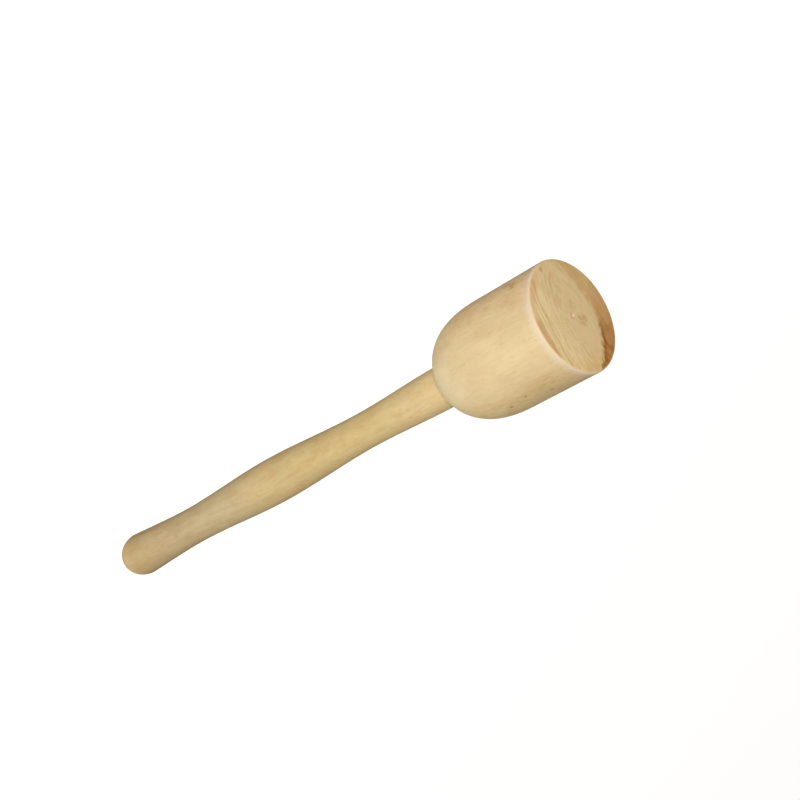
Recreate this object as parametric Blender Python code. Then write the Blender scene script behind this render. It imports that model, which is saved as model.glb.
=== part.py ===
"""A turned wooden mallet: a bell-shaped beech head on a double-waisted handle.

The mallet lies along +X, from the handle's butt to the striking face, with its axis horizontal
and its barrel resting on Z = 0. The origin is the middle of its box's underside. Metres.
"""

import math

import bmesh
import bpy

# Driving dimensions
RIM_R = 0.0325  # the head at its widest, on the rim of the striking face
LENGTH = 0.3715  # butt to striking face

# Head, measured back from the striking face
HEAD_LEN = 0.0908  # to where the shoulder's curve would close on the axis
SHOULDER_LEN = 0.0440  # the bell-shaped part
SHOULDER_POWER = 2.53  # 2 is a plain ellipse; more is squarer in the shoulder
BARREL_BACK_R = 0.0321  # where the shoulder starts; the barrel widens from here to RIM_R
RIM_EASE = 0.0015  # rounding of the striking face's rim
MOUTH_R = 0.0128  # flat ring around the handle, where the shoulder is faced off
CENTRE_R = 0.0014  # the lathe centre's cone in the striking face
CENTRE_DEPTH = 0.0012

# Handle, each station measured from the butt's tip: distance along the axis, radius
BUTT = (0.0151, 0.0126)  # where the domed butt ends
WAIST = (0.0643, 0.0106)
SWELL = (0.1351, 0.0131)
UPPER_WAIST = (0.2138, 0.0103)
NECK = (0.2767, 0.0120)
BUTT_SLOPE = -0.05  # the handle already narrows as it leaves the dome

# The hidden joint
GAP = 0.0003  # between neighbouring pieces
TENON_R = 0.0105
TENON_LEN = 0.0500
TENON_CHAMFER = 0.0008
SOCKET_DEPTH = 0.0520
KERF_DEPTH = 0.0320
KERF_WIDTH = 0.0014
WEDGE_LEN = 0.0260
WEDGE_WIDTH = 0.0150
WEDGE_THICK = 0.0040  # where it stands on the socket's floor
WEDGE_THIN = 0.0010
OVERCUT = 0.0010  # how far the kerf's cutter runs past the wood

# Fineness
HEAD_SIDES = 48
HANDLE_SIDES = 36
SHOULDER_STEPS = 12
BARREL_STEPS = 2
EASE_STEPS = 3
DOME_STEPS = 7
STATION_STEPS = 8  # between two stations of the handle
SMOOTH_BELOW = math.radians(35)
ON_AXIS = 1e-7


def shoulder_x(radius):
    """Where the bell-shaped shoulder has this radius."""
    closing = 1 - (radius / BARREL_BACK_R) ** SHOULDER_POWER
    return SHOULDER_X - SHOULDER_LEN * closing ** (1 / SHOULDER_POWER)


# Places worked out from the dimensions
BUTT_X = -LENGTH / 2
FACE_X = LENGTH / 2
SHOULDER_X = FACE_X - HEAD_LEN + SHOULDER_LEN
MOUTH_X = shoulder_x(MOUTH_R)
NECK_END_X = MOUTH_X - GAP
TENON_END_X = NECK_END_X + TENON_LEN
SOCKET_FLOOR_X = MOUTH_X + SOCKET_DEPTH
SOCKET_R = TENON_R + GAP
WEDGE_FOOT_X = SOCKET_FLOOR_X - GAP
WEDGE_TIP_X = WEDGE_FOOT_X - WEDGE_LEN


def clear_scene():
    for obj in list(bpy.data.objects):
        bpy.data.objects.remove(obj, do_unlink=True)


def wood(name, colour, roughness):
    material = bpy.data.materials.new(name)
    material.use_nodes = True
    shader = material.node_tree.nodes["Principled BSDF"]
    shader.inputs["Base Color"].default_value = (*colour, 1.0)
    shader.inputs["Roughness"].default_value = roughness
    shader.inputs["Metallic"].default_value = 0.0
    return material


def on_mallet_axis(name, bm, material):
    """Turn the bmesh, built about the X axis, into an object on the mallet's axis."""
    bmesh.ops.recalc_face_normals(bm, faces=bm.faces)
    mesh = bpy.data.meshes.new(name)
    bm.to_mesh(mesh)
    bm.free()
    mesh.materials.append(material)
    obj = bpy.data.objects.new(name, mesh)
    obj.location = (0, 0, RIM_R)
    bpy.context.collection.objects.link(obj)
    return obj


def ring(bm, x, radius, sides):
    """The vertices of one turned circle, or a single one where the profile meets the axis."""
    if radius < ON_AXIS:
        return [bm.verts.new((x, 0, 0))]
    angles = [2 * math.pi * k / sides for k in range(sides)]
    return [bm.verts.new((x, radius * math.cos(a), radius * math.sin(a))) for a in angles]


def turned(name, profile, sides, material):
    """Revolve (x, radius) points about the X axis. The first and the last lie on the axis."""
    bm = bmesh.new()
    rings = [ring(bm, x, radius, sides) for x, radius in profile]
    for near, far in zip(rings, rings[1:]):
        for k in range(sides):
            following = (k + 1) % sides
            if len(near) == 1:
                bm.faces.new((near[0], far[k], far[following]))
            elif len(far) == 1:
                bm.faces.new((near[k], far[0], near[following]))
            else:
                bm.faces.new((near[k], far[k], far[following], near[following]))
    obj = on_mallet_axis(name, bm, material)
    obj.data.shade_smooth()
    obj.data.set_sharp_from_angle(angle=SMOOTH_BELOW)
    return obj


def prism(name, outline_xz, half_width, material):
    """A closed prism: its outline lies in the XZ plane, and it reaches half_width to both sides in Y."""
    bm = bmesh.new()
    near, far = ([bm.verts.new((x, y, z)) for x, z in outline_xz] for y in (-half_width, half_width))
    bm.faces.new(near)
    bm.faces.new(far)
    for k in range(len(outline_xz)):
        following = (k + 1) % len(outline_xz)
        bm.faces.new((near[k], near[following], far[following], far[k]))
    return on_mallet_axis(name, bm, material)


def both_sides(half_outline):
    """A closed outline from (x, half thickness) points along one side of it."""
    return [(x, -z) for x, z in half_outline] + [(x, z) for x, z in reversed(half_outline)]


def shoulder_points():
    """The bell from the socket's mouth out to the barrel, in equal steps of the superellipse's angle."""
    power = 2 / SHOULDER_POWER
    first = math.asin((MOUTH_R / BARREL_BACK_R) ** (1 / power))
    points = []
    for k in range(SHOULDER_STEPS):
        angle = first + (math.pi / 2 - first) * k / SHOULDER_STEPS
        radius = BARREL_BACK_R * math.sin(angle) ** power
        points.append((shoulder_x(radius), radius))
    return points


def barrel_points():
    """The barrel, widening slightly, and the eased rim of the striking face."""
    ease_x = FACE_X - RIM_EASE
    points = []
    for k in range(BARREL_STEPS + 1):
        t = k / BARREL_STEPS
        x = SHOULDER_X + t * (ease_x - SHOULDER_X)
        points.append((x, BARREL_BACK_R + t * (RIM_R - BARREL_BACK_R)))
    for k in range(1, EASE_STEPS + 1):
        angle = math.pi / 2 * k / EASE_STEPS
        points.append((ease_x + RIM_EASE * math.sin(angle), RIM_R - RIM_EASE * (1 - math.cos(angle))))
    return points


def make_head():
    profile = [(SOCKET_FLOOR_X, 0), (SOCKET_FLOOR_X, SOCKET_R), (MOUTH_X, SOCKET_R)]
    profile += shoulder_points()
    profile += barrel_points()
    profile += [(FACE_X, CENTRE_R), (FACE_X - CENTRE_DEPTH, 0)]
    turned("head", profile, HEAD_SIDES, wood("head_beech", (0.78, 0.62, 0.38), 0.6))


def hermite(start, end, slope, t):
    """Radius at fraction t between two (x, radius) stations, leaving at a slope and arriving level."""
    eased = 3 * t ** 2 - 2 * t ** 3
    lean = slope * (end[0] - start[0]) * (t ** 3 - 2 * t ** 2 + t)
    return start[1] + eased * (end[1] - start[1]) + lean


def handle_points():
    """The handle's outside, from the tip of its butt to its neck at the socket's mouth."""
    dome_len, dome_r = BUTT
    points = []
    for k in range(DOME_STEPS + 1):
        angle = math.pi / 2 * k / DOME_STEPS
        points.append((BUTT_X + dome_len * (1 - math.cos(angle)), dome_r * math.sin(angle)))
    stations = (BUTT, WAIST, SWELL, UPPER_WAIST, NECK)
    for start, end in zip(stations, stations[1:]):
        slope = BUTT_SLOPE if start is BUTT else 0
        for k in range(1, STATION_STEPS + 1):
            t = k / STATION_STEPS
            x = BUTT_X + start[0] + t * (end[0] - start[0])
            points.append((x, hermite(start, end, slope, t)))
    points.append((NECK_END_X, NECK[1]))
    return points


def make_handle():
    profile = handle_points()
    profile += [(NECK_END_X, TENON_R), (TENON_END_X - TENON_CHAMFER, TENON_R)]
    profile += [(TENON_END_X, TENON_R - TENON_CHAMFER), (TENON_END_X, 0)]
    material = wood("handle_beech", (0.71, 0.55, 0.31), 0.55)
    handle = turned("handle", profile, HANDLE_SIDES, material)
    cut_kerf(handle, material)


def wedge_half(x):
    """Half the wedge's thickness at x."""
    t = (WEDGE_FOOT_X - x) / WEDGE_LEN
    return (WEDGE_THICK + t * (WEDGE_THIN - WEDGE_THICK)) / 2


def cut_kerf(handle, material):
    """Saw the tenon's end along its axis. The wedge has opened the cut to a V."""
    past_end = TENON_END_X + OVERCUT
    bottom = (TENON_END_X - KERF_DEPTH, KERF_WIDTH / 2)
    at_tip = (WEDGE_TIP_X - GAP, wedge_half(WEDGE_TIP_X) + GAP)
    at_end = (past_end, wedge_half(past_end) + GAP)
    outline = both_sides([bottom, at_tip, at_end])
    cutter = prism("kerf_cutter", outline, TENON_R + OVERCUT, material)
    cutter.hide_render = True
    cutter.display_type = "WIRE"
    modifier = handle.modifiers.new("kerf", "BOOLEAN")
    modifier.operation = "DIFFERENCE"
    modifier.solver = "EXACT"
    modifier.object = cutter


def make_wedge():
    outline = both_sides([(WEDGE_TIP_X, WEDGE_THIN / 2), (WEDGE_FOOT_X, WEDGE_THICK / 2)])
    prism("foxtail_wedge", outline, WEDGE_WIDTH / 2, wood("wedge_beech", (0.60, 0.42, 0.22), 0.65))


clear_scene()
make_head()
make_handle()
make_wedge()
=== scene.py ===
"""The looks of the turned wooden mallet: finely turned head and handle in procedural beech.

Everything is in metres in the row frame: the mallet lies along +X, with its axis above Z = 0.
"""

import math

import bpy
import numpy as np
from mathutils import Matrix, Vector


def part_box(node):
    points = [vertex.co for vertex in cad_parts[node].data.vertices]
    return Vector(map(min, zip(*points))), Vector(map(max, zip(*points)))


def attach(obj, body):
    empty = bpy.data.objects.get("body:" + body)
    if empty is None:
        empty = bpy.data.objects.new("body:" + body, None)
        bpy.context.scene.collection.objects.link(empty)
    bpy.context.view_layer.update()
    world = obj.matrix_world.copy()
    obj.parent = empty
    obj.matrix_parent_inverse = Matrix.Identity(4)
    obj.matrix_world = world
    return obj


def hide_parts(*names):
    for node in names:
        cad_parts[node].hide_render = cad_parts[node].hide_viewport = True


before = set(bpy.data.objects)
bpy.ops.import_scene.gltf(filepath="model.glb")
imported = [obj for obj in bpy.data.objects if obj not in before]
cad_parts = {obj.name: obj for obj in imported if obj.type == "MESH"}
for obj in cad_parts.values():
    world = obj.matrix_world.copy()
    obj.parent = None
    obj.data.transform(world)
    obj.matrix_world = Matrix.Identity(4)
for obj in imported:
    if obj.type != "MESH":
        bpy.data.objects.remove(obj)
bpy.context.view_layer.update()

# ---------------------------------------------------------------- sizes, as the frame gives them
head_low, head_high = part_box("head")
handle_low, handle_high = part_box("handle")
wedge_low, wedge_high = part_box("foxtail_wedge")
FACE_X = head_high.x
MOUTH_X = head_low.x
BUTT_X = handle_low.x
TENON_END_X = handle_high.x
RIM_R = (head_high.z - head_low.z) / 2
AXIS = Vector((0, (head_low.y + head_high.y) / 2, (head_low.z + head_high.z) / 2))
GAP = 0.0003  # between neighbouring pieces

# The head, as the CAD part has it
HEAD_LEN = 0.0908  # from the face to where the shoulder's curve would close on the axis
SHOULDER_LEN = 0.0440  # the bell-shaped part
SHOULDER_X = FACE_X - HEAD_LEN + SHOULDER_LEN
SHOULDER_POWER = 2.53  # 2 is a plain ellipse; more is squarer in the shoulder
BARREL_BACK_R = 0.0321
RIM_EASE = 0.0015
MOUTH_R = 0.0128  # where the shoulder is faced off around the handle
MOUTH_EASE = 0.0003
SOCKET_R = 0.0108
SOCKET_DEPTH = 0.0520
CENTRE_R = 0.0014  # the pit that the lathe's centre left
CENTRE_DEPTH = 0.0012
CENTRE_LIP = 0.00006

# The handle: stations from the butt's tip (distance, radius)
BUTT = (0.0151, 0.0126)
WAIST = (0.0643, 0.0106)
SWELL = (0.1351, 0.0131)
UPPER_WAIST = (0.2138, 0.0103)
NECK = (0.2767, 0.0120)
BUTT_SLOPE = -0.05
NECK_END_X = MOUTH_X - GAP
TENON_R = 0.0105
TENON_CHAMFER = 0.0008
KERF_DEPTH = 0.0320
KERF_HALF = 0.0007
OVERCUT = 0.0010  # how far the kerf's cutter runs past the wood

# Fineness: sides round the axis, and steps along each part of a profile
HEAD_SIDES = 288
HANDLE_SIDES = 160
SOCKET_STEPS = 20
MOUTH_STEPS = 4
SHOULDER_STEPS = 90
BARREL_STEPS = 60
RIM_STEPS = 12
FACE_STEPS = 60
PIT_STEPS = 4
DOME_STEPS = 48
STATION_STEPS = 60
NECK_STEPS = 4
SHARP_ABOVE = math.radians(50)

MM = 1000.0
FACE_MM = (FACE_X - AXIS.x) * MM
BUTT_MM = (BUTT_X - AXIS.x) * MM
HANDLE_LENGTH_MM = (MOUTH_X - BUTT_X) * MM


# ---------------------------------------------------------------- turned meshes
def mesh_object(name, verts, faces):
    mesh = bpy.data.meshes.new(name)
    mesh.from_pydata([tuple(v) for v in verts], [], faces)
    obj = bpy.data.objects.new(name, mesh)
    bpy.context.scene.collection.objects.link(obj)
    return obj


def between_rings(ring_count, sides):
    """The quads that join each ring of vertices to the next one."""
    faces = []
    for row in range(0, (ring_count - 1) * sides, sides):
        for k in range(sides):
            n = (k + 1) % sides
            faces.append((row + k, row + n, row + sides + n, row + sides + k))
    return faces


def turned(name, profile, sides):
    """Revolve (x, radius) points about the mallet's axis. The first and last lie on the axis."""
    angles = np.arange(sides) * 2 * math.pi / sides
    rings = profile[1:-1]
    verts = []
    for x, radius in rings:
        for a in angles:
            verts.append((x, AXIS.y + radius * math.cos(a), AXIS.z + radius * math.sin(a)))
    first, last = len(verts), len(verts) + 1
    verts += [(profile[0][0], AXIS.y, AXIS.z), (profile[-1][0], AXIS.y, AXIS.z)]
    faces = between_rings(len(rings), sides)
    end = (len(rings) - 1) * sides
    for k in range(sides):
        n = (k + 1) % sides
        faces += [(first, n, k), (end + k, end + n, last)]
    obj = mesh_object(name, verts, faces)
    obj.data.shade_smooth()
    obj.data.set_sharp_from_angle(angle=SHARP_ABOVE)
    return obj


def steps(start, end, count):
    """count values after start, up to and including end."""
    return [start + (end - start) * k / count for k in range(1, count + 1)]


def shoulder_x(radius):
    """Where the bell-shaped shoulder has this radius."""
    closing = max(1 - (radius / BARREL_BACK_R) ** SHOULDER_POWER, 0.0)
    return SHOULDER_X - SHOULDER_LEN * closing ** (1 / SHOULDER_POWER)


def socket_points():
    """From the middle of the socket's floor out to the eased edge of its mouth."""
    floor_x = MOUTH_X + SOCKET_DEPTH
    points = [(floor_x, 0.0), (floor_x, SOCKET_R)]
    points += [(x, SOCKET_R) for x in steps(floor_x, MOUTH_X + MOUTH_EASE, SOCKET_STEPS)]
    for angle in steps(0, math.pi / 2, MOUTH_STEPS):
        x = MOUTH_X + MOUTH_EASE * (1 - math.sin(angle))
        points.append((x, SOCKET_R + MOUTH_EASE * (1 - math.cos(angle))))
    return points


def shoulder_points():
    """The bell, in equal steps of the superellipse's angle."""
    power = 2 / SHOULDER_POWER
    first = math.asin((MOUTH_R / BARREL_BACK_R) ** (1 / power))
    points = []
    for angle in [first] + steps(first, math.pi / 2, SHOULDER_STEPS):
        radius = BARREL_BACK_R * math.sin(angle) ** power
        points.append((shoulder_x(radius), radius))
    return points


def barrel_points():
    """The barrel, widening slightly, and the eased rim of the striking face."""
    ease_x = FACE_X - RIM_EASE
    points = []
    for t in steps(0, 1, BARREL_STEPS):
        radius = BARREL_BACK_R + t * (RIM_R - BARREL_BACK_R)
        points.append((SHOULDER_X + t * (ease_x - SHOULDER_X), radius))
    for angle in steps(0, math.pi / 2, RIM_STEPS):
        x = ease_x + RIM_EASE * math.sin(angle)
        points.append((x, RIM_R - RIM_EASE * (1 - math.cos(angle))))
    return points


def face_points():
    """The flat face, in to the bottom of the lathe centre's pit."""
    points = [(FACE_X, r) for r in steps(RIM_R - RIM_EASE, CENTRE_R + CENTRE_LIP, FACE_STEPS)]
    points.append((FACE_X - CENTRE_LIP, CENTRE_R))
    for t in steps(CENTRE_LIP / CENTRE_DEPTH, 1, PIT_STEPS):
        points.append((FACE_X - CENTRE_DEPTH * t, CENTRE_R * (1 - t)))
    return points


def head_profile():
    return socket_points() + shoulder_points() + barrel_points() + face_points()


def hermite(start, end, slope, t):
    """Radius at fraction t between two stations, leaving at a slope and arriving level."""
    eased = 3 * t ** 2 - 2 * t ** 3
    lean = slope * (end[0] - start[0]) * (t ** 3 - 2 * t ** 2 + t)
    return start[1] + eased * (end[1] - start[1]) + lean


def handle_profile():
    dome_len, dome_r = BUTT
    points = [(BUTT_X, 0.0)]
    for angle in steps(0, math.pi / 2, DOME_STEPS):
        points.append((BUTT_X + dome_len * (1 - math.cos(angle)), dome_r * math.sin(angle)))
    stations = (BUTT, WAIST, SWELL, UPPER_WAIST, NECK)
    for start, end in zip(stations, stations[1:]):
        slope = BUTT_SLOPE if start is BUTT else 0
        for t in steps(0, 1, STATION_STEPS):
            x = BUTT_X + start[0] + t * (end[0] - start[0])
            points.append((x, hermite(start, end, slope, t)))
    points += [(x, NECK[1]) for x in steps(BUTT_X + NECK[0], NECK_END_X - GAP, NECK_STEPS)]
    points += [(NECK_END_X, NECK[1] - GAP), (NECK_END_X, TENON_R)]
    points += [(TENON_END_X - TENON_CHAMFER, TENON_R), (TENON_END_X, TENON_R - TENON_CHAMFER)]
    return points + [(TENON_END_X, 0.0)]


# ---------------------------------------------------------------- material building
class Shader:
    """One material's node tree. Any input takes a number, a colour or another node's output."""

    def __init__(self, name):
        self.material = bpy.data.materials.new(name)
        self.material.use_nodes = True
        self.nodes = self.material.node_tree.nodes
        self.links = self.material.node_tree.links
        self.principled = self.nodes["Principled BSDF"]

    def add(self, kind, inputs, output=0, **settings):
        node = self.nodes.new(kind)
        for key, value in settings.items():
            setattr(node, key, value)
        for key, value in inputs.items():
            self.feed(node.inputs[key], value)
        return node.outputs[output]

    def feed(self, socket, value):
        if isinstance(value, bpy.types.NodeSocket):
            self.links.new(value, socket)
        else:
            socket.default_value = value

    def math(self, operation, a, b=0.0):
        return self.add("ShaderNodeMath", {0: a, 1: b}, operation=operation)

    def product(self, first, *others):
        for other in others:
            first = self.math("MULTIPLY", first, other)
        return first

    def vector(self, operation, a, b=(0, 0, 0)):
        return self.add("ShaderNodeVectorMath", {0: a, 1: b}, operation=operation)

    def length(self, vector):
        return self.add("ShaderNodeVectorMath", {0: vector}, "Value", operation="LENGTH")

    def join(self, x, y, z):
        return self.add("ShaderNodeCombineXYZ", {0: x, 1: y, 2: z})

    def split(self, vector):
        node = self.nodes.new("ShaderNodeSeparateXYZ")
        self.feed(node.inputs[0], vector)
        return node.outputs[0], node.outputs[1], node.outputs[2]

    def noise(self, vector, detail=2.0, rough=0.5):
        """Fractal noise from 0 to 1 about 0.5, one cell a unit."""
        inputs = {"Vector": vector, "Scale": 1.0, "Detail": detail, "Roughness": rough}
        return self.add("ShaderNodeTexNoise", inputs)

    def ease(self, value, low, high, out_low=0.0, out_high=1.0):
        """A smooth step from out_low to out_high while value goes from low to high."""
        inputs = {0: value, 1: low, 2: high, 3: out_low, 4: out_high}
        return self.add("ShaderNodeMapRange", inputs, interpolation_type="SMOOTHSTEP")

    def mix(self, factor, a, b, blend="MIX"):
        inputs = {0: factor, 6: a, 7: b}
        return self.add("ShaderNodeMix", inputs, 2, data_type="RGBA", blend_type=blend)

    def tint(self, factor, colour, by):
        """colour multiplied by the rgb in by, as far as factor says."""
        return self.mix(factor, colour, (*by, 1.0), "MULTIPLY")

    def ramp(self, value, stops):
        """A smooth colour ramp through (position, rgb) stops."""
        node = self.nodes.new("ShaderNodeValToRGB")
        self.feed(node.inputs[0], value)
        node.color_ramp.interpolation = "EASE"
        elements = node.color_ramp.elements
        while len(elements) < len(stops):
            elements.new(0.5)
        for element, (position, rgb) in zip(elements, stops):
            element.position = position
            element.color = (*rgb, 1.0)
        return node.outputs[0]

    def finish(self, colour, roughness, specular, height, relief_mm):
        """Feed the surface. The bump's full height is relief_mm."""
        self.feed(self.principled.inputs["Base Color"], colour)
        self.feed(self.principled.inputs["Roughness"], roughness)
        self.principled.inputs["Specular IOR Level"].default_value = specular
        bump = {"Strength": 1.0, "Distance": relief_mm / MM, "Height": height}
        self.feed(self.principled.inputs["Normal"], self.add("ShaderNodeBump", bump))
        return self.material


def linear(r, g, b):
    """A colour given as screen values from 0 to 255, as a linear rgba."""
    def one(c):
        c /= 255
        return c / 12.92 if c <= 0.04045 else ((c + 0.055) / 1.055) ** 2.4
    return one(r), one(g), one(b), 1.0


class Wood:
    """Solid wood, in millimetres from the mallet's axis: x along it, p and q across it, turned.

    The pith runs along x at (p, q) = pith. The growth rings round it are stretched along p and
    lean over towards q.
    """

    def __init__(self, shader, turn_deg, pith, stretch, lean, sway_mm, jitter_mm):
        s = self.shader = shader
        coordinates = s.nodes.new("ShaderNodeTexCoord")
        local = s.vector("SUBTRACT", coordinates.outputs["Object"], tuple(AXIS))
        self.place = s.vector("MULTIPLY", local, (MM, MM, MM))
        self.x, y, z = s.split(self.place)
        c, d = math.cos(math.radians(turn_deg)), math.sin(math.radians(turn_deg))
        self.p = s.math("ADD", s.product(y, c), s.product(z, d))
        self.q = s.math("SUBTRACT", s.product(z, c), s.product(y, d))
        self.off_axis = s.length(s.join(0.0, y, z))
        sway = self.wander(80.0, 16.0, sway_mm)
        jitter = self.wander(30.0, 2.2, jitter_mm)
        p = s.math("SUBTRACT", self.p, pith[0])
        q = s.math("ADD", s.math("SUBTRACT", self.q, pith[1]), s.product(p, lean))
        q = s.math("ADD", q, s.math("ADD", sway, jitter))
        across = s.join(0.0, s.math("DIVIDE", p, stretch), q)
        self.radius = s.length(across)
        self.outward = s.vector("NORMALIZE", across)

    def noise(self, long_mm, wide_mm, detail=2.0, rough=0.5):
        """Noise in cells that are so long along the grain and so wide across it."""
        cells = (1 / long_mm, 1 / wide_mm, 1 / wide_mm)
        return self.shader.noise(self.shader.vector("MULTIPLY", self.place, cells), detail, rough)

    def wander(self, long_mm, wide_mm, width):
        """A slow shift, up to about a quarter of width to either side."""
        centred = self.shader.math("SUBTRACT", self.noise(long_mm, wide_mm), 0.5)
        return self.shader.product(centred, width)

    def along_rings(self, wide_mm, turns, detail=2.0):
        """Noise in streaks that follow the growth rings. More turns make them shorter."""
        s = self.shader
        around = s.vector("MULTIPLY", self.outward, (0.0, turns, turns))
        depth = s.join(s.math("DIVIDE", self.radius, wide_mm), 0.0, 0.0)
        return s.noise(s.vector("ADD", depth, around), detail)

    def rings(self, table):
        """Dark lines at the (radius, half width, strength) places of a table, on a pale ground."""
        s = self.shader
        stops = []
        for radius, half, strength in table:
            stops.append(((radius - RING_FADE_IN * half) / RING_SPAN, (0.0, 0.0, 0.0)))
            stops.append((radius / RING_SPAN, (strength, strength, strength)))
            stops.append(((radius + RING_FADE_OUT * half) / RING_SPAN, (0.0, 0.0, 0.0)))
        return s.ramp(s.math("DIVIDE", self.radius, RING_SPAN), stops)

    def year_lines(self, spacing):
        """Evenly spaced rings: 0 in pale early wood, up to 1 in the thin dark late wood."""
        s = self.shader
        slow = s.noise(s.join(s.product(self.radius, 0.22), 0.0, 3.7))
        shift = s.product(s.math("SUBTRACT", slow, 0.5), 3.4)
        age = s.math("DIVIDE", s.math("ADD", self.radius, shift), spacing)
        part = s.math("FRACT", age)
        line = s.product(s.ease(part, 0.35, 0.90), s.ease(part, 0.93, 1.0, 1.0, 0.0))
        strength = s.noise(s.join(s.product(s.math("FLOOR", age), 0.73), 0.0, 0.0), 0.0)
        return s.product(line, s.ease(strength, 0.25, 0.70, 0.35, 1.0))

    def rays(self, long_mm, count, low, high):
        """The thin sheets that point outward from the pith: end-on spokes, edge-on short lines."""
        s = self.shader
        spokes = s.vector("MULTIPLY", self.outward, (0.0, count, count))
        shift = s.join(s.math("DIVIDE", self.x, long_mm), 0.0, 0.0)
        inputs = {"Vector": s.vector("ADD", spokes, shift), "Scale": 1.0, "Detail": 1.0}
        inputs["W"] = s.product(self.radius, 0.06)
        sheets = s.add("ShaderNodeTexNoise", inputs, noise_dimensions="4D")
        return s.ease(sheets, low, high)

    def spot(self, x, p, q, long_mm, wide_mm):
        """1 inside a small spindle along the grain, fading to 0 at its edge."""
        s = self.shader
        along = s.math("SUBTRACT", self.x, x)
        here = s.join(along, s.math("SUBTRACT", self.p, p), s.math("SUBTRACT", self.q, q))
        reach = s.length(s.vector("MULTIPLY", here, (1 / long_mm, 1 / wide_mm, 1 / wide_mm)))
        return s.ease(reach, 0.35, 1.0, 1.0, 0.0)


# ---------------------------------------------------------------- the head's beech
RING_SPAN = 44.0
RING_FADE_IN = 2.2  # in half widths: a growth ring darkens slowly and ends sharply
RING_FADE_OUT = 1.1
HEAD_RINGS = (  # radius, half width and strength, in millimetres from the pith
    (7.5, 0.6, 0.12), (11.0, 0.7, 0.20), (14.8, 0.8, 0.35), (18.3, 0.8, 0.40), (20.4, 0.5, 0.22),
    (22.2, 0.6, 0.30), (24.3, 0.5, 0.15), (26.0, 0.8, 1.00), (28.4, 0.5, 0.35), (35.0, 0.7, 0.40),
)
HEAD_TURN = 50.0  # degrees
HEAD_PITH = (-5.0, -3.5)  # p, q
KNOTS = (  # brown specks: x, p, q, half length, half width
    (171.6, 28.4, 14.6, 3.2, 3.8), (167.0, 29.8, 11.2, 2.6, 1.7), (185.7, 29.0, 5.3, 3.0, 1.7),
    (136.3, -26.3, 18.6, 2.2, 1.3), (122.6, -28.4, 15.3, 2.8, 1.4), (129.7, -28.6, 14.2, 1.8, 1.2),
    (149.0, -24.9, 20.6, 1.6, 0.9), (163.1, -28.0, 16.2, 2.4, 1.1),
)
PITH_SMUDGES = ((-4.2, -5.6, 5.6, 1.0), (5.2, -3.6, 4.8, 0.55))  # p, q, size, strength
SMUDGE_LONG = 40.0  # how far a smudge runs along the grain
HEART_ARC = (-2.0, -18.2)  # p, q of the middle of the arc where the brown growth starts

# Ground colours of the wood
SIDE_DULL = linear(225, 197, 148)
SIDE_PALE = linear(233, 207, 158)
END_PINK = linear(237, 205, 157)
END_GREEN = linear(234, 209, 155)
# the eased rim's paler colour: rubbed wear and a painted highlight
RIM_WORN_AND_LIT = linear(236, 213, 184)

# Tints: what a mark multiplies the wood's colour by
GROWTH_TINT = (0.82, 0.66, 0.48)
GROWTH_DEEP = (0.67, 0.45, 0.25)
GROWTH_EDGE = (0.84, 0.72, 0.58)
SIDE_ROSY = (1.0, 0.955, 0.925)
SIDE_GREENISH = (0.955, 0.975, 0.945)
SIDE_STREAK = (0.94, 0.92, 0.87)
# painted light on the barrel's flanks: warm shade painted on the lower flank, lighter and warmer
# light painted on the upper flank
PAINTED_WARM_LOWER_FLANK = (0.985, 0.955, 0.88)
PAINTED_LIGHT_UPPER_FLANK = (1.13, 1.08, 1.04)
SIDE_RING = (0.90, 0.84, 0.74)
SIDE_BLOTCH = (0.88, 0.79, 0.68)
SIDE_FLECK = (0.78, 0.62, 0.46)
END_STREAK = (0.86, 0.82, 0.72)
END_NEAR_SIDE = (1.14, 1.19, 1.22)
END_LOWER_SIDE = (0.97, 0.94, 0.80)
END_RING = (0.80, 0.71, 0.58)
END_SPOKE = (1.08, 1.08, 1.04)
END_STRIP = (0.83, 0.70, 0.64)
END_SMUDGE = (0.78, 0.65, 0.50)
END_DOT = (0.93, 0.91, 0.87)
KNOT_TINT = (0.92, 0.78, 0.60)
KNOT_SPECK = (0.72, 0.55, 0.38)
PIT_TINT = (0.86, 0.84, 0.84)
PORE_TINT = (0.94, 0.92, 0.88)


def beyond_heart_edge(s, wood):
    """How many millimetres a point lies inside the brown growth, beyond the arc where it starts."""
    from_middle = s.math("SUBTRACT", wood.p, HEART_ARC[0])
    up = s.math("MINIMUM", from_middle, 0.0)
    down = s.math("MAXIMUM", from_middle, 0.0)
    bend = s.math("ADD", s.product(up, up, 0.022), s.product(down, down, 0.010))
    ragged = s.math("ADD", wood.wander(60.0, 3.0, 2.4), wood.wander(60.0, 9.0, 4.0))
    fingers = s.product(s.math("SUBTRACT", wood.along_rings(1.3, 7.0), 0.5), 7.0)
    ragged = s.math("ADD", ragged, fingers)
    inward = s.math("SUBTRACT", ragged, wood.q)
    return s.math("ADD", s.math("ADD", bend, HEART_ARC[1]), inward)


def brown_heart(s, wood, colour, amount):
    """The colour with the brown growth over it: blotchy, deepest at its inner edge and at -p."""
    beyond = beyond_heart_edge(s, wood)
    softness = s.ease(wood.p, -14.0, 0.0, 1.0, 2.2)
    inside = s.ease(s.math("DIVIDE", beyond, softness), -1.6, 2.6)
    inside = s.product(inside, s.ease(wood.p, -8.0, 14.0, amount, 0.62 * amount))
    colour = s.tint(inside, colour, GROWTH_TINT)
    patches = s.ease(wood.along_rings(2.6, 6.0), 0.40, 0.60, 0.55, 1.0)
    deep = s.product(patches, s.ease(wood.p, -20.0, -6.0, 1.0, 0.15))
    colour = s.tint(s.product(inside, deep), colour, GROWTH_DEEP)
    edge = s.product(s.ease(beyond, 0.0, 1.8), s.ease(beyond, 2.2, 6.5, 1.0, 0.0))
    edge = s.product(edge, amount, s.ease(wood.p, -12.0, 2.0, 1.0, 0.25))
    return s.tint(edge, colour, GROWTH_EDGE)


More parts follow.
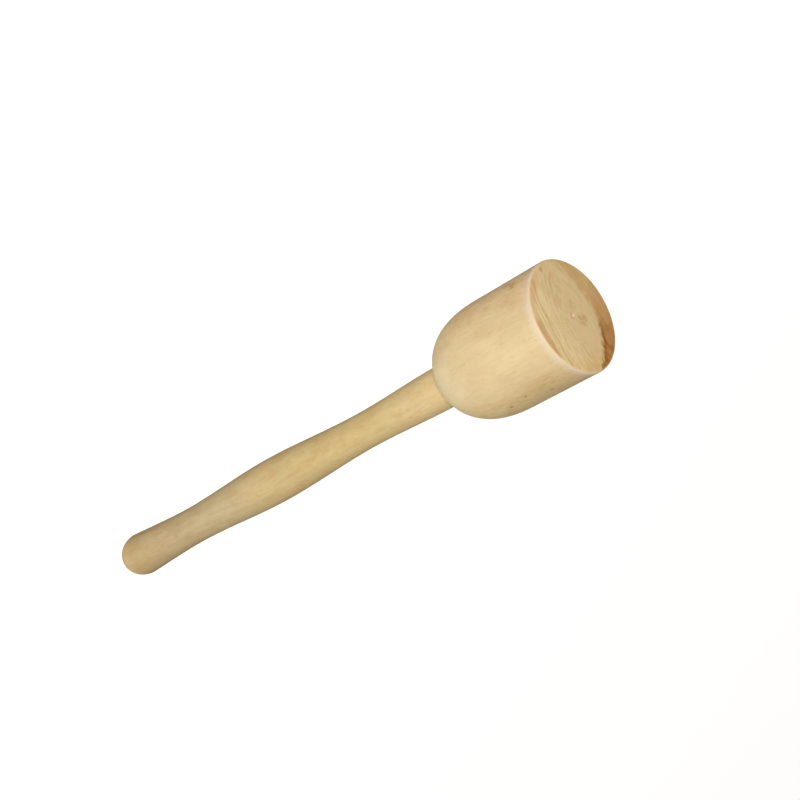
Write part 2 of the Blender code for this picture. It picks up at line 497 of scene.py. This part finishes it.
def head_side_colour(s, wood, rings):
    """The barrel and the shoulder: pale, a little mottled, with faint streaks and brown flecks, and
    painted light on its flanks.
    """
    mottle = s.ease(wood.noise(24.0, 10.0, 3.0, 0.6), 0.32, 0.68)
    colour = s.mix(mottle, SIDE_DULL, SIDE_PALE)
    colour = s.tint(s.ease(wood.noise(30.0, 9.0), 0.50, 0.72), colour, SIDE_ROSY)
    greenish = s.ease(wood.noise(18.0, 7.0), 0.30, 0.46, 1.0, 0.0)
    colour = s.tint(greenish, colour, SIDE_GREENISH)
    streaks = s.ease(wood.noise(16.0, 0.9, 3.0, 0.6), 0.38, 0.72, 0.0, 0.6)
    colour = s.tint(streaks, colour, SIDE_STREAK)
    # painted light: the lower flank painted warmer and a little darker, the upper flank painted
    # lighter and warmer
    colour = s.tint(s.ease(wood.p, -30.0, -8.0, 1.0, 0.0), colour, PAINTED_WARM_LOWER_FLANK)
    colour = s.tint(s.ease(wood.p, 16.0, 30.0), colour, PAINTED_LIGHT_UPPER_FLANK)
    colour = s.tint(s.product(rings, 0.30), colour, SIDE_RING)
    flanks = s.ease(s.math("ABSOLUTE", wood.p), 12.0, 26.0)
    blotches = s.product(s.ease(wood.noise(4.5, 2.0, 3.0, 0.65), 0.46, 0.74), flanks)
    colour = s.tint(s.product(blotches, 0.8), colour, SIDE_BLOTCH)
    flecks = s.product(wood.rays(4.0, 58.0, 0.60, 0.76), s.ease(flanks, 0.0, 1.0, 0.30, 0.55))
    return s.tint(flecks, colour, SIDE_FLECK)


def dark_strip(s, wood):
    """The darker strip at the face's near rim: along a growth ring, and higher up along the rim."""
    ring = s.product(s.ease(wood.p, 4.0, 10.0, 1.0, 0.3), s.ease(wood.radius, 29.2, 31.0))
    upper = s.product(s.ease(wood.p, 10.0, 18.0, 0.0, 0.75), s.ease(wood.q, 6.0, 16.0))
    upper = s.product(upper, s.ease(wood.off_axis, 25.5, 28.5))
    return s.math("MAXIMUM", ring, upper)


def head_end_colour(s, wood, rings):
    """The striking face: darker end grain, streaked along its rings, with pale spokes."""
    off_pith = s.ease(wood.radius, 4.0, 12.0, 0.25, 1.0)
    broad = s.ease(wood.along_rings(3.2, 3.0), 0.36, 0.64)
    colour = s.mix(broad, END_PINK, END_GREEN)
    streaks = s.product(s.ease(wood.along_rings(1.4, 4.0, 3.0), 0.42, 0.60), off_pith)
    streaks = s.product(streaks, s.ease(wood.q, -8.0, 10.0, 0.40, 0.80))
    colour = s.tint(streaks, colour, END_STREAK)
    colour = s.tint(s.ease(wood.q, 0.0, 20.0), colour, END_NEAR_SIDE)
    colour = s.tint(s.ease(wood.p, -30.0, -16.0, 1.0, 0.0), colour, END_LOWER_SIDE)
    fading = s.ease(wood.along_rings(6.0, 2.5), 0.36, 0.60, 0.30, 0.85)
    colour = s.tint(s.product(rings, fading), colour, END_RING)
    spokes = s.product(wood.rays(60.0, 46.0, 0.52, 0.66), s.product(off_pith, 0.5))
    colour = s.tint(spokes, colour, END_SPOKE)
    colour = s.tint(dark_strip(s, wood), colour, END_STRIP)
    smudges = s.ease(wood.noise(40.0, 1.5, 3.0, 0.65), 0.42, 0.62, 0.15, 1.0)
    for p, q, size, strength in PITH_SMUDGES:
        patch = s.product(wood.spot(FACE_MM, p, q, SMUDGE_LONG, size), strength)
        colour = s.tint(s.product(patch, smudges), colour, END_SMUDGE)
    dots = s.ease(wood.noise(30.0, 0.5, 3.0, 0.7), 0.35, 0.70, 0.8, 0.0)
    return s.tint(dots, colour, END_DOT)


def add_knots(s, wood, colour):
    """Small brown blotches with darker specks in them."""
    specks = wood.noise(2.2, 0.9, 3.0, 0.65)
    for knot in KNOTS:
        here = wood.spot(*knot)
        colour = s.tint(s.product(here, 0.75), colour, KNOT_TINT)
        colour = s.tint(s.product(here, s.ease(specks, 0.42, 0.60)), colour, KNOT_SPECK)
    return colour


def rim_wear_and_highlight(s, wood, colour):
    """The eased rim made paler: partly rubbed wear, partly a painted highlight where the rounded
    edge turns to the light, most on the side away from the brown growth.
    """
    lip = s.math("ADD", wood.x, wood.wander(9.0, 5.0, 2.4))
    # painted highlight along the rim, together with its wear
    rim = s.product(s.ease(lip, FACE_MM - 6.0, FACE_MM - 0.8), s.ease(wood.off_axis, 31.2, 32.5))
    rim = s.product(rim, s.ease(wood.q, -16.0, 2.0, 0.2, 0.80))
    return s.mix(rim, colour, RIM_WORN_AND_LIT)


def beech_head():
    s = Shader("beech_head")
    wood = Wood(s, HEAD_TURN, HEAD_PITH, stretch=2.2, lean=0.06, sway_mm=3.6, jitter_mm=0.6)
    near_face = s.ease(wood.x, FACE_MM - 2.5, FACE_MM - 2.0)
    on_face = s.product(near_face, s.ease(wood.off_axis, 31.2, 31.8, 1.0, 0.0))
    rings = wood.rings(HEAD_RINGS)
    side = brown_heart(s, wood, head_side_colour(s, wood, rings), 0.35)
    end = brown_heart(s, wood, head_end_colour(s, wood, rings), 1.0)
    colour = rim_wear_and_highlight(s, wood, add_knots(s, wood, s.mix(on_face, side, end)))
    # the lathe's centre has crushed the fibres round its pit
    pit = s.product(near_face, s.ease(wood.off_axis, 1.3, 3.0, 1.0, 0.0))
    colour = s.tint(s.product(pit, 0.7), colour, PIT_TINT)
    pores = wood.noise(2.4, 0.28, 2.0)
    colour = s.tint(s.ease(pores, 0.3, 0.7, 0.5, 0.0), colour, PORE_TINT)
    streak = wood.noise(14.0, 0.8, 3.0, 0.6)
    height = s.math("ADD", s.product(pores, 0.6), s.product(rings, 0.25))
    return s.finish(colour, s.ease(streak, 0.2, 0.8, 0.58, 0.72), 0.30, height, 0.05)


# ---------------------------------------------------------------- the handle's beech
HANDLE_TURN = 20.0
HANDLE_PITH = (0.0, -60.0)  # outside it, so its rings are nearly flat
HANDLE_YEAR = 2.2  # millimetres from one growth ring to the next
HANDLE_DULL = linear(226, 198, 142)
HANDLE_PALE = linear(233, 206, 149)
HANDLE_TONES = (  # tints from the butt to the neck: darker and greyer towards the butt
    (0.00, (0.78, 0.70, 0.64)), (0.20, (0.76, 0.745, 0.815)), (0.35, (0.795, 0.80, 0.88)),
    (0.50, (0.89, 0.87, 0.83)), (0.75, (0.90, 0.89, 0.825)), (1.00, (0.99, 0.975, 1.02)),
)
HANDLE_ROSY = (0.99, 0.94, 0.91)
HANDLE_GRIME = (0.94, 0.90, 0.84)
HANDLE_STREAK = (0.90, 0.86, 0.78)
HANDLE_RING = (0.92, 0.87, 0.78)
HANDLE_FLECK = (0.78, 0.66, 0.52)


def beech_handle():
    s = Shader("beech_handle")
    wood = Wood(s, HANDLE_TURN, HANDLE_PITH, stretch=1.0, lean=0.0, sway_mm=5.0, jitter_mm=0.6)
    rings = wood.year_lines(HANDLE_YEAR)
    flecks = wood.rays(4.0, 110.0, 0.61, 0.75)
    streak = wood.noise(11.0, 0.35, 3.0, 0.65)
    pores = wood.noise(2.5, 0.22, 2.0)
    colour = s.mix(s.ease(wood.noise(14.0, 4.0), 0.3, 0.7), HANDLE_DULL, HANDLE_PALE)
    along = s.math("DIVIDE", s.math("SUBTRACT", wood.x, BUTT_MM), HANDLE_LENGTH_MM)
    colour = s.mix(1.0, colour, s.ramp(along, HANDLE_TONES), "MULTIPLY")
    colour = s.tint(s.ease(wood.noise(9.0, 5.0), 0.48, 0.66), colour, HANDLE_ROSY)
    grime = s.ease(wood.noise(5.0, 2.4, 3.0, 0.6), 0.48, 0.68)
    colour = s.tint(s.product(grime, 0.6), colour, HANDLE_GRIME)
    colour = s.tint(s.ease(streak, 0.35, 0.7, 0.0, 0.50), colour, HANDLE_STREAK)
    colour = s.tint(s.product(rings, 0.35), colour, HANDLE_RING)
    colour = s.tint(s.product(flecks, 0.40), colour, HANDLE_FLECK)
    colour = s.tint(s.ease(pores, 0.3, 0.7, 0.6, 0.0), colour, PORE_TINT)
    height = s.math("ADD", s.product(pores, 0.6), s.product(streak, 0.4))
    return s.finish(colour, s.ease(streak, 0.2, 0.8, 0.60, 0.74), 0.22, height, 0.05)


# ---------------------------------------------------------------- the wedge's beech
WEDGE_PITH = (0.0, -30.0)
WEDGE_YEAR = 1.6
WEDGE_DARK = linear(196, 160, 108)
WEDGE_PALE = linear(212, 178, 124)
WEDGE_RING = (0.82, 0.74, 0.62)


def beech_wedge():
    s = Shader("beech_wedge")
    wood = Wood(s, 0.0, WEDGE_PITH, stretch=1.0, lean=0.0, sway_mm=2.0, jitter_mm=0.3)
    streak = wood.noise(12.0, 0.4, 3.0, 0.6)
    colour = s.mix(s.ease(streak, 0.3, 0.7), WEDGE_DARK, WEDGE_PALE)
    colour = s.tint(s.product(wood.year_lines(WEDGE_YEAR), 0.8), colour, WEDGE_RING)
    saw_marks = wood.noise(1.2, 9.0, 1.0)
    height = s.math("ADD", s.product(streak, 0.5), s.product(saw_marks, 0.5))
    return s.finish(colour, s.ease(streak, 0.2, 0.8, 0.66, 0.80), 0.30, height, 0.10)


# ---------------------------------------------------------------- the three pieces
def kerf_cutter():
    """A prism round the wedge: its outline lies in the XZ plane, and it is wider than the tenon."""
    at_wedge = (wedge_high.z - wedge_low.z) / 2 + GAP
    half = [
        (TENON_END_X - KERF_DEPTH, KERF_HALF),
        (wedge_low.x - GAP, KERF_HALF + GAP / 3),
        (TENON_END_X + OVERCUT, at_wedge),
    ]
    outline = [(x, -z) for x, z in half] + [(x, z) for x, z in reversed(half)]
    reach = TENON_R + OVERCUT
    count = len(outline)
    verts = [(x, AXIS.y + side * reach, AXIS.z + z) for side in (-1, 1) for x, z in outline]
    faces = [tuple(range(count)), tuple(range(count, 2 * count))[::-1]]
    for k in range(count):
        n = (k + 1) % count
        faces.append((k, count + k, count + n, n))
    return mesh_object("kerf_cutter", verts, faces)


def cut_kerf(handle):
    """Open the tenon's end round the wedge, as the CAD handle is."""
    cutter = kerf_cutter()
    modifier = handle.modifiers.new("kerf", "BOOLEAN")
    modifier.operation = "DIFFERENCE"
    modifier.solver = "EXACT"
    modifier.object = cutter
    evaluated = handle.evaluated_get(bpy.context.evaluated_depsgraph_get())
    cut = bpy.data.meshes.new_from_object(evaluated)
    handle.modifiers.clear()
    handle.data = cut
    bpy.data.objects.remove(cutter)


def finish_piece(piece, node, material):
    piece.data.materials.clear()
    piece.data.materials.append(material)
    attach(piece, "root")
    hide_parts(node)


def make_pieces():
    head = turned("turned_head", head_profile(), HEAD_SIDES)
    finish_piece(head, "head", beech_head())
    handle = turned("turned_handle", handle_profile(), HANDLE_SIDES)
    cut_kerf(handle)
    finish_piece(handle, "handle", beech_handle())
    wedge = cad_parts["foxtail_wedge"]
    wedge.data.materials.clear()
    wedge.data.materials.append(beech_wedge())


# ---------------------------------------------------------------- camera
VIEW_RIGHT = Vector((0.6787, 0.1072, -0.7266))  # the picture's right and up, in the row frame
VIEW_UP = Vector((0.3790, 0.7965, 0.4712))
CAMERA_DISTANCE = 1.4625  # to the striking face, along the view
AIM = Vector((0.0895, 0.0437))  # how far the face lies right of and above the view's middle
LENS_MM = 127.2
SENSOR_MM = 36.0
CLIP_NEAR = 0.05
CLIP_FAR = 60.0


def add_camera():
    """The photo's view. Returns the camera's place and the direction back towards it."""
    right = VIEW_RIGHT.normalized()
    up = (VIEW_UP - right * VIEW_UP.dot(right)).normalized()
    back = right.cross(up)
    data = bpy.data.cameras.new("camera")
    data.lens = LENS_MM
    data.sensor_width = SENSOR_MM
    data.clip_start, data.clip_end = CLIP_NEAR, CLIP_FAR
    camera = bpy.data.objects.new("camera", data)
    face = Vector((FACE_X, AXIS.y, AXIS.z))
    place = face + back * CAMERA_DISTANCE - right * AIM[0] - up * AIM[1]
    turn = Matrix((right, up, back)).transposed().to_4x4()
    camera.matrix_world = Matrix.Translation(place) @ turn
    bpy.context.scene.collection.objects.link(camera)
    bpy.context.scene.camera = camera
    return place, back


# ---------------------------------------------------------------- lights
LIT_POINT = Vector((0.1, 0, AXIS.z))  # near the mallet's middle, towards the head
KEY_BEHIND_CAMERA = 0.08
KEY_SIZE, KEY_WATTS, KEY_COLOUR = 0.35, 19.0, (1.0, 0.99, 0.97)
FILL_PLACE = Vector((-1.2, -0.35, 0.35))
FILL_SIZE, FILL_WATTS, FILL_COLOUR = 0.5, 9.5, (0.74, 0.90, 1.0)
BACK_DISTANCE = 1.4
BACK_SIZE, BACK_WATTS, BACK_COLOUR = 0.3, 12.0, (1.0, 0.89, 0.76)
WORLD_STRENGTH = 0.33


def add_disk_light(name, place, size, watts, colour):
    data = bpy.data.lights.new(name, "AREA")
    data.shape = "DISK"
    data.size = size
    data.energy = watts
    data.color = colour
    light = bpy.data.objects.new(name, data)
    light.location = place
    light.rotation_euler = (LIT_POINT - place).to_track_quat("-Z", "Y").to_euler()
    bpy.context.scene.collection.objects.link(light)


def add_lights(camera_place, back):
    """A soft key at the camera, a cool fill past the butt, and one behind for the floor's light."""
    add_disk_light("key", camera_place + back * KEY_BEHIND_CAMERA, KEY_SIZE, KEY_WATTS, KEY_COLOUR)
    add_disk_light("fill", FILL_PLACE, FILL_SIZE, FILL_WATTS, FILL_COLOUR)
    add_disk_light("behind", LIT_POINT - back * BACK_DISTANCE, BACK_SIZE, BACK_WATTS, BACK_COLOUR)
    world = bpy.data.worlds.new("studio")
    bpy.context.scene.world = world
    world.use_nodes = True
    background = world.node_tree.nodes["Background"]
    background.inputs["Color"].default_value = (1, 1, 1, 1)
    background.inputs["Strength"].default_value = WORLD_STRENGTH


# ---------------------------------------------------------------- floor
FLOOR_SIDES = 96
FLOOR_FLAT_R = 6.5
SMOOTHING_RING_R = 6.0  # keeps the sweep's smooth shading off the flat middle
SWEEP_R = 4.0
SWEEP_STEPS = 12
BACKDROP_TOP = 12.0
FLOOR_CLEARANCE = 0.0001


def backdrop_mesh():
    """A disc whose edge sweeps up as a backdrop, far away."""
    profile = [(SMOOTHING_RING_R, 0.0), (FLOOR_FLAT_R, 0.0)]
    for a in steps(0, math.pi / 2, SWEEP_STEPS):
        profile.append((FLOOR_FLAT_R + SWEEP_R * math.sin(a), SWEEP_R * (1 - math.cos(a))))
    profile.append((FLOOR_FLAT_R + SWEEP_R, BACKDROP_TOP))
    verts = []
    for radius, height in profile:
        for k in range(FLOOR_SIDES):
            angle = 2 * math.pi * k / FLOOR_SIDES
            verts.append((radius * math.cos(angle), radius * math.sin(angle), height))
    faces = [tuple(range(FLOOR_SIDES))] + between_rings(len(profile), FLOOR_SIDES)
    floor = mesh_object("floor", verts, faces)
    floor.data.shade_smooth()
    return floor


def floor_paper():
    """White paper that lights itself, a little less close to the mallet."""
    s = Shader("floor_paper")
    place = s.nodes.new("ShaderNodeTexCoord").outputs["Object"]
    s.principled.inputs["Base Color"].default_value = (0.86, 0.86, 0.85, 1)
    s.principled.inputs["Roughness"].default_value = 0.9
    s.principled.inputs["Emission Color"].default_value = (1, 1, 1, 1)
    strength = s.ease(s.length(place), 0.5, 1.6, 0.86, 1.0)
    s.feed(s.principled.inputs["Emission Strength"], strength)
    return s.material


def add_floor():
    """A pale floor that the barrel's rim and the butt both touch, so it lies at a slight tilt."""
    run = (FACE_X - RIM_EASE) - (BUTT_X + BUTT[0])
    tilt = math.asin((RIM_R - BUTT[1]) / run)
    contact_x = FACE_X - RIM_EASE + RIM_R * math.sin(tilt)
    contact = Vector((contact_x, 0, AXIS.z - RIM_R * math.cos(tilt) - FLOOR_CLEARANCE))
    floor = backdrop_mesh()
    floor.matrix_world = Matrix.Translation(contact) @ Matrix.Rotation(tilt, 4, "Y")
    floor.data.materials.append(floor_paper())
    # the mallet's edges stay as dark as in soft frontal light: the floor throws nothing back
    floor.visible_diffuse = False
    floor.visible_glossy = False
    floor.visible_shadow = False


make_pieces()
add_lights(*add_camera())
add_floor()
bpy.context.scene.view_settings.view_transform = "Standard"
